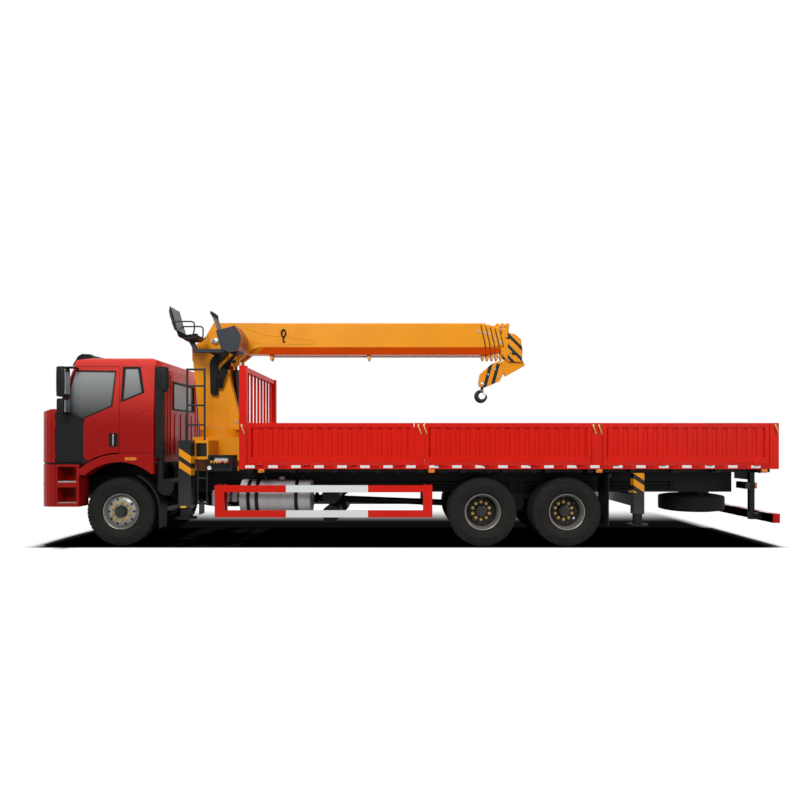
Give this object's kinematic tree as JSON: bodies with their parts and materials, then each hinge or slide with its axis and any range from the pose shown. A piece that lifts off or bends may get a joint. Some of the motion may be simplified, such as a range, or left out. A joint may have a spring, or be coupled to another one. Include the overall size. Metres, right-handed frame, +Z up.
{
  "type": "lorry-mounted telescopic crane",
  "caption": "Three-axle flatbed lorry with a slewing telescopic crane behind the cab, outriggers and drop-side load bed.",
  "frame": {"origin": "on the ground under the middle of the vehicle", "axes": "forward is -X, the driver's left side is -Y, +Z is up"},
  "size_m": [11.94, 2.92, 3.925],
  "materials": {
    "red_paint": "gloss paint",
    "dark_paint": "satin paint",
    "yellow_paint": "gloss paint",
    "steel": "bare steel",
    "tyre": "matt rubber",
    "black_plastic": "matt plastic",
    "glass": "clear glass",
    "tank": "bare sheet",
    "lamp": "amber lens"
  },
  "bodies": {
    "chassis": {"chassis_frame": "dark_paint", "axles_and_springs": "dark_paint", "engine": "dark_paint", "front_bumper": "red_paint", "step_fenders": "red_paint", "lamps": "lamp", "mudguards": "black_plastic", "fuel_tank": "tank", "air_tanks": "black_plastic", "guards": "red_paint", "bed_floor": "red_paint", "headboard": "red_paint", "spare_wheel": "tyre", "crane_base": "yellow_paint", "rear_outrigger": "yellow_paint", "ladder_and_controls": "yellow_paint"},
    "cab": {"cab_floor": "dark_paint", "cab_front": "red_paint", "cab_sides": "red_paint", "cab_rear": "red_paint", "cab_roof": "red_paint", "cab_glass": "glass", "cab_interior": "black_plastic", "visor_and_intake": "black_plastic"},
    "left_door": {"door_left": "red_paint", "door_glass_left": "glass"},
    "right_door": {"door_right": "red_paint", "door_glass_right": "glass"},
    "left_knuckle": {"knuckle_left": "dark_paint"},
    "right_knuckle": {"knuckle_right": "dark_paint"},
    "wheel_fl": {"front_wheel_left": "tyre"},
    "wheel_fr": {"front_wheel_right": "tyre"},
    "wheels_r1l": {"rear_wheels_1_left": "tyre"},
    "wheels_r1r": {"rear_wheels_1_right": "tyre"},
    "wheels_r2l": {"rear_wheels_2_left": "tyre"},
    "wheels_r2r": {"rear_wheels_2_right": "tyre"},
    "column": {"crane_column": "yellow_paint", "operator_seat": "black_plastic", "operator_station": "black_plastic"},
    "boom": {"boom_base": "yellow_paint"},
    "section_2": {"boom_section_2": "yellow_paint"},
    "section_3": {"boom_section_3": "yellow_paint"},
    "section_4": {"boom_section_4": "yellow_paint"},
    "section_5": {"boom_section_5": "yellow_paint"},
    "hook": {"hook": "steel"},
    "barrel": {"luff_barrel": "yellow_paint"},
    "rod": {"luff_rod": "steel"},
    "beam_left": {"front_beam_left": "yellow_paint"},
    "beam_right": {"front_beam_right": "yellow_paint"},
    "jack_fl": {"front_jack_left": "steel"},
    "jack_fr": {"front_jack_right": "steel"},
    "jack_rl": {"rear_jack_left": "steel"},
    "jack_rr": {"rear_jack_right": "steel"},
    "gate_l1": {"gate_left_1": "red_paint"},
    "gate_l2": {"gate_left_2": "red_paint"},
    "gate_l3": {"gate_left_3": "red_paint"},
    "gate_r1": {"gate_right_1": "red_paint"},
    "gate_r2": {"gate_right_2": "red_paint"},
    "gate_r3": {"gate_right_3": "red_paint"},
    "tail_gate": {"tailgate": "red_paint"}
  },
  "joints": [
    {"name": "steer_left", "type": "hinge", "parent": "chassis", "child": "left_knuckle", "pos_m": [-4.61, -0.87, 0.55], "axis": [0, 0, 1], "range_deg": [-38, 38]},
    {"name": "steer_right", "type": "hinge", "parent": "chassis", "child": "right_knuckle", "pos_m": [-4.61, 0.87, 0.55], "axis": [0, 0, 1], "range_deg": [-38, 38]},
    {"name": "spin_front_left", "type": "hinge", "parent": "left_knuckle", "child": "wheel_fl", "pos_m": [-4.61, -1.01, 0.55], "axis": [0, 1, 0], "continuous": true},
    {"name": "spin_front_right", "type": "hinge", "parent": "right_knuckle", "child": "wheel_fr", "pos_m": [-4.61, 1.01, 0.55], "axis": [0, 1, 0], "continuous": true},
    {"name": "spin_rear_1_left", "type": "hinge", "parent": "chassis", "child": "wheels_r1l", "pos_m": [1.215, -0.93, 0.55], "axis": [0, 1, 0], "continuous": true},
    {"name": "spin_rear_1_right", "type": "hinge", "parent": "chassis", "child": "wheels_r1r", "pos_m": [1.215, 0.93, 0.55], "axis": [0, 1, 0], "continuous": true},
    {"name": "spin_rear_2_left", "type": "hinge", "parent": "chassis", "child": "wheels_r2l", "pos_m": [2.565, -0.93, 0.55], "axis": [0, 1, 0], "continuous": true},
    {"name": "spin_rear_2_right", "type": "hinge", "parent": "chassis", "child": "wheels_r2r", "pos_m": [2.565, 0.93, 0.55], "axis": [0, 1, 0], "continuous": true},
    {"name": "cab_tilt", "type": "hinge", "parent": "chassis", "child": "cab", "pos_m": [-5.85, 0, 0.95], "axis": [0, -1, 0], "range_deg": [0, 50]},
    {"name": "door_left_open", "type": "hinge", "parent": "cab", "child": "left_door", "pos_m": [-5.615, -1.225, 2], "axis": [0, 0, -1], "range_deg": [0, 70]},
    {"name": "door_right_open", "type": "hinge", "parent": "cab", "child": "right_door", "pos_m": [-5.615, 1.225, 2], "axis": [0, 0, 1], "range_deg": [0, 70]},
    {"name": "slew", "type": "hinge", "parent": "chassis", "child": "column", "pos_m": [-3.27, 0, 1.83], "axis": [0, 0, 1], "continuous": true},
    {"name": "luff", "type": "hinge", "parent": "column", "child": "boom", "pos_m": [-3.32, 0, 3.43], "axis": [0, -1, 0], "range_deg": [0, 75]},
    {"name": "luff_barrel_swing", "type": "hinge", "parent": "column", "child": "barrel", "pos_m": [-2.96, 0, 2.03], "axis": [0, -1, 0], "range_deg": [-20, 20]},
    {"name": "luff_rod_stroke", "type": "slide", "parent": "barrel", "child": "rod", "axis": [-0.0571, 0, 0.9984], "range_m": [0, 0.62]},
    {"name": "extend_2", "type": "slide", "parent": "boom", "child": "section_2", "axis": [1, 0, 0], "range_m": [0, 3.2]},
    {"name": "extend_3", "type": "slide", "parent": "section_2", "child": "section_3", "axis": [1, 0, 0], "range_m": [0, 3.2]},
    {"name": "extend_4", "type": "slide", "parent": "section_3", "child": "section_4", "axis": [1, 0, 0], "range_m": [0, 3.2]},
    {"name": "extend_5", "type": "slide", "parent": "section_4", "child": "section_5", "axis": [1, 0, 0], "range_m": [0, 3.2]},
    {"name": "hook_swing", "type": "hinge", "parent": "section_5", "child": "hook", "pos_m": [1.336, 0, 2.7], "axis": [0, 1, 0], "range_deg": [-60, 60]},
    {"name": "beam_left_out", "type": "slide", "parent": "chassis", "child": "beam_left", "axis": [0, -1, 0], "range_m": [0, 1.5]},
    {"name": "beam_right_out", "type": "slide", "parent": "chassis", "child": "beam_right", "axis": [0, 1, 0], "range_m": [0, 1.5]},
    {"name": "jack_front_left", "type": "slide", "parent": "beam_left", "child": "jack_fl", "axis": [0, 0, -1], "range_m": [0, 0.5]},
    {"name": "jack_front_right", "type": "slide", "parent": "beam_right", "child": "jack_fr", "axis": [0, 0, -1], "range_m": [0, 0.5]},
    {"name": "jack_rear_left", "type": "slide", "parent": "chassis", "child": "jack_rl", "axis": [0, 0, -1], "range_m": [0, 0.4]},
    {"name": "jack_rear_right", "type": "slide", "parent": "chassis", "child": "jack_rr", "axis": [0, 0, -1], "range_m": [0, 0.4]},
    {"name": "gate_left_1_drop", "type": "hinge", "parent": "chassis", "child": "gate_l1", "pos_m": [0, -1.265, 1.31], "axis": [1, 0, 0], "range_deg": [0, 180]},
    {"name": "gate_right_1_drop", "type": "hinge", "parent": "chassis", "child": "gate_r1", "pos_m": [0, 1.265, 1.31], "axis": [-1, 0, 0], "range_deg": [0, 180]},
    {"name": "gate_left_2_drop", "type": "hinge", "parent": "chassis", "child": "gate_l2", "pos_m": [0, -1.265, 1.31], "axis": [1, 0, 0], "range_deg": [0, 180]},
    {"name": "gate_right_2_drop", "type": "hinge", "parent": "chassis", "child": "gate_r2", "pos_m": [0, 1.265, 1.31], "axis": [-1, 0, 0], "range_deg": [0, 180]},
    {"name": "gate_left_3_drop", "type": "hinge", "parent": "chassis", "child": "gate_l3", "pos_m": [0, -1.265, 1.31], "axis": [1, 0, 0], "range_deg": [0, 180]},
    {"name": "gate_right_3_drop", "type": "hinge", "parent": "chassis", "child": "gate_r3", "pos_m": [0, 1.265, 1.31], "axis": [-1, 0, 0], "range_deg": [0, 180]},
    {"name": "tailgate_drop", "type": "hinge", "parent": "chassis", "child": "tail_gate", "pos_m": [5.956, 0, 1.31], "axis": [0, 1, 0], "range_deg": [0, 180]}
  ],
  "couplings": [
    {"joint": "steer_right", "follows": "steer_left", "ratio": 1},
    {"joint": "luff_barrel_swing", "follows": "luff", "ratio": -0.115},
    {"joint": "luff_rod_stroke", "follows": "luff", "m_per_rad": 0.419},
    {"joint": "extend_3", "follows": "extend_2", "ratio": 1},
    {"joint": "extend_4", "follows": "extend_2", "ratio": 1},
    {"joint": "extend_5", "follows": "extend_2", "ratio": 1}
  ]
}
